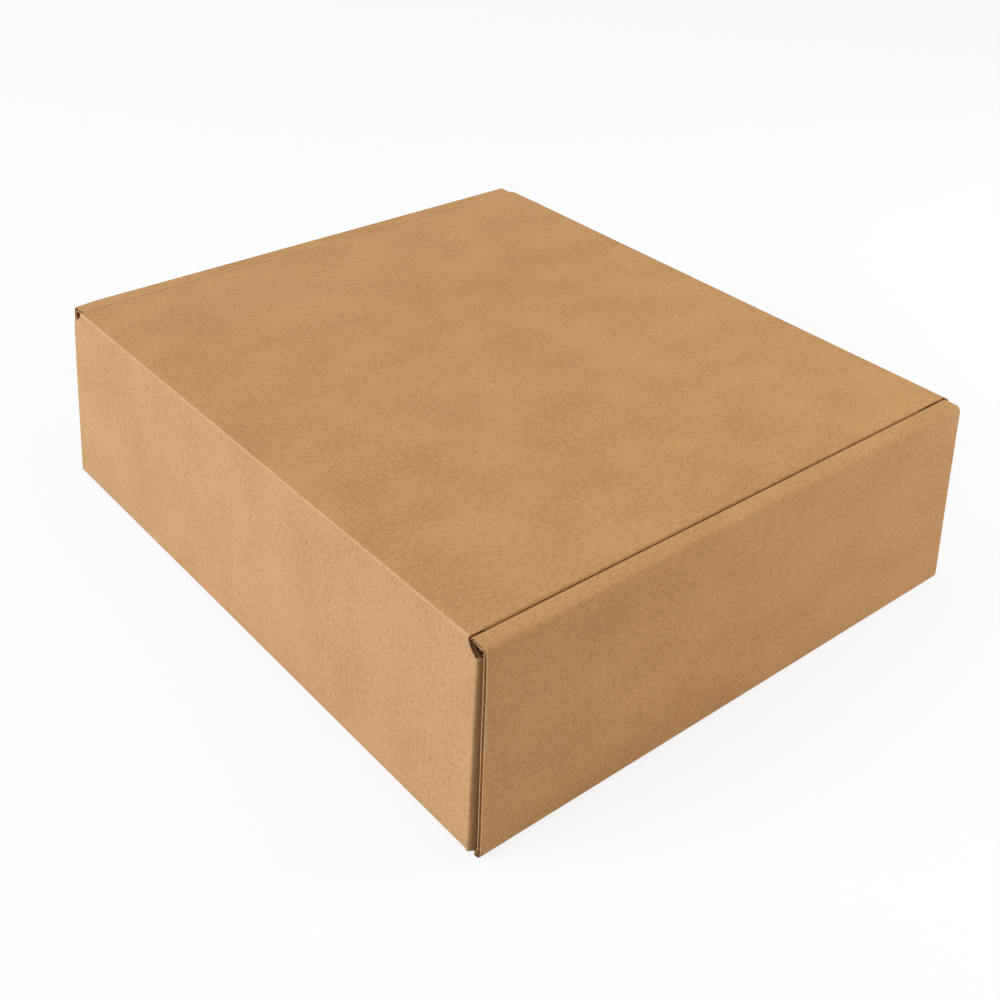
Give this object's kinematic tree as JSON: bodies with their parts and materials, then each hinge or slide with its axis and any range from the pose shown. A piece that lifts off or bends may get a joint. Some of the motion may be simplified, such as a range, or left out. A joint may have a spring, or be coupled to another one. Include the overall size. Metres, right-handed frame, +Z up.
{
  "type": "closed cardboard box",
  "caption": "Folded mailer box of brown corrugated board with rolled side walls and a hinged tuck-in lid, closed.",
  "frame": {"origin": "middle of the underside of the box", "axes": "+X along the lid's crease, +Y to the rear wall that carries the lid, +Z up"},
  "size_m": [0.2498, 0.2168, 0.0724],
  "materials": {
    "kraft_board": "matt uncoated kraft"
  },
  "bodies": {
    "tray": {"tray": "kraft_board"},
    "lid": {"lid": "kraft_board"}
  },
  "joints": [
    {"name": "lid_hinge", "type": "hinge", "parent": "tray", "child": "lid", "pos_m": [0, 0.1043, 0.07158], "axis": [-1, 0, 0], "range_deg": [0, 175]}
  ]
}
